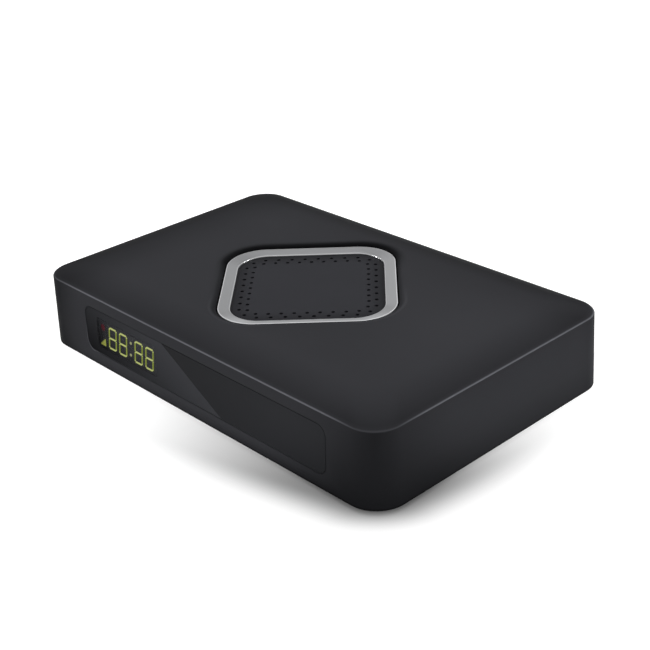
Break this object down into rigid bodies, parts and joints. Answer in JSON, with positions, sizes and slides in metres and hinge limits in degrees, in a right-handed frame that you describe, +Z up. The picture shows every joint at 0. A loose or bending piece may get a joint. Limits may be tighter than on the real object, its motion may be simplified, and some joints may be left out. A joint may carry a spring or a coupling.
{
  "type": "satellite television receiver",
  "caption": "Low dark set-top receiver with a crowned roof, a silver diamond vent ring, a smoked clock window and rear sockets; its rocker, reset button and port shutter move.",
  "frame": {"origin": "on the surface the feet stand on, at the middle of the overall width and overall depth, the aerial socket included", "axes": "+X to the right seen from the display side, +Y to the rear sockets, +Z up"},
  "size_m": [0.182, 0.1244, 0.0335],
  "materials": {
    "case_plastic": "fine satin texture, near-black grey",
    "pan_plastic": "fine matt texture",
    "ring_silver": "satin silver with a bright edge",
    "grille_black": "satin",
    "lens_smoke": "smoked clear acrylic",
    "fascia_gloss": "gloss black",
    "segment_lit": "lit yellow-green",
    "lamp_red": "lit red, dim",
    "bars_yellow": "lit yellow",
    "clock_black": "matt black with a dark window",
    "board_green": "solder mask over glass fibre",
    "chip_black": "moulded epoxy",
    "tin_plate": "bright tin plate",
    "steel": "zinc-plated steel",
    "nickel": "nickel plate",
    "gold": "gold-flashed contacts",
    "socket_black": "moulded black plastic",
    "panel_black": "black-painted sheet",
    "insulator_white": "white plastic",
    "sink_black": "black anodised",
    "pad_grey": "soft heat pad",
    "foot_rubber": "matt rubber",
    "capacitor_sleeve": "sleeved can with a bare top",
    "coil_grey": "sintered ferrite",
    "ribbon_white": "flat film cable",
    "lead_sleeve": "insulated wire"
  },
  "bodies": {
    "case": {"top_cover": "case_plastic", "base_pan": "pan_plastic", "bezel_ring": "ring_silver", "grille_plate": "grille_black", "display_lens": "lens_smoke", "front_fascia": "fascia_gloss", "display_segments": "segment_lit", "standby_lamp": "lamp_red", "signal_bars": "bars_yellow", "digit_display": "clock_black", "lamp_block": "clock_black", "remote_sensor": "clock_black", "display_board": "board_green", "main_board": "board_green", "display_screws": "steel", "board_screws": "steel", "case_screws": "steel", "rubber_feet": "foot_rubber", "rear_panel": "panel_black", "aerial_socket": "nickel", "aerial_nut": "nickel", "aerial_washer": "nickel", "aerial_insulator": "insulator_white", "tuner_can": "tin_plate", "tuner_lid": "tin_plate", "av_jack": "socket_black", "hdmi_shell": "tin_plate", "hdmi_tongue": "socket_black", "usb_shell": "tin_plate", "usb_tongue": "insulator_white", "lan_socket": "socket_black", "lan_contacts": "gold", "dc_socket": "socket_black", "dc_pin": "nickel", "optical_socket": "socket_black", "reset_switch": "socket_black", "switch_body": "socket_black", "switch_leads": "lead_sleeve", "main_chip": "chip_black", "thermal_pad": "pad_grey", "heat_sink": "sink_black", "memory_chips": "chip_black", "flash_chip": "chip_black", "demodulator_chip": "chip_black", "capacitors": "capacitor_sleeve", "power_coils": "coil_grey", "lan_transformer": "chip_black", "crystal": "tin_plate", "ribbon_sockets": "insulator_white", "flat_cable": "ribbon_white"},
    "rocker": {"power_rocker": "socket_black"},
    "reset": {"reset_button": "socket_black"},
    "shutter": {"optical_shutter": "socket_black"}
  },
  "joints": [
    {"name": "power_rocker_tilt", "type": "hinge", "parent": "case", "child": "rocker", "pos_m": [-0.066, 0.05097, 0.0148], "axis": [-1, 0, 0], "range_deg": [0, 24]},
    {"name": "reset_press", "type": "slide", "parent": "case", "child": "reset", "axis": [0, -1, 0], "range_m": [0, 0.0008], "stiffness_N_per_m": 400, "springref_m": -0.001},
    {"name": "optical_shutter_swing", "type": "hinge", "parent": "case", "child": "shutter", "pos_m": [0.0243, 0.05187, 0.0184], "axis": [-1, 0, 0], "range_deg": [0, 84], "stiffness_Nm_per_rad": 0.0006, "springref_deg": -17.19}
  ]
}
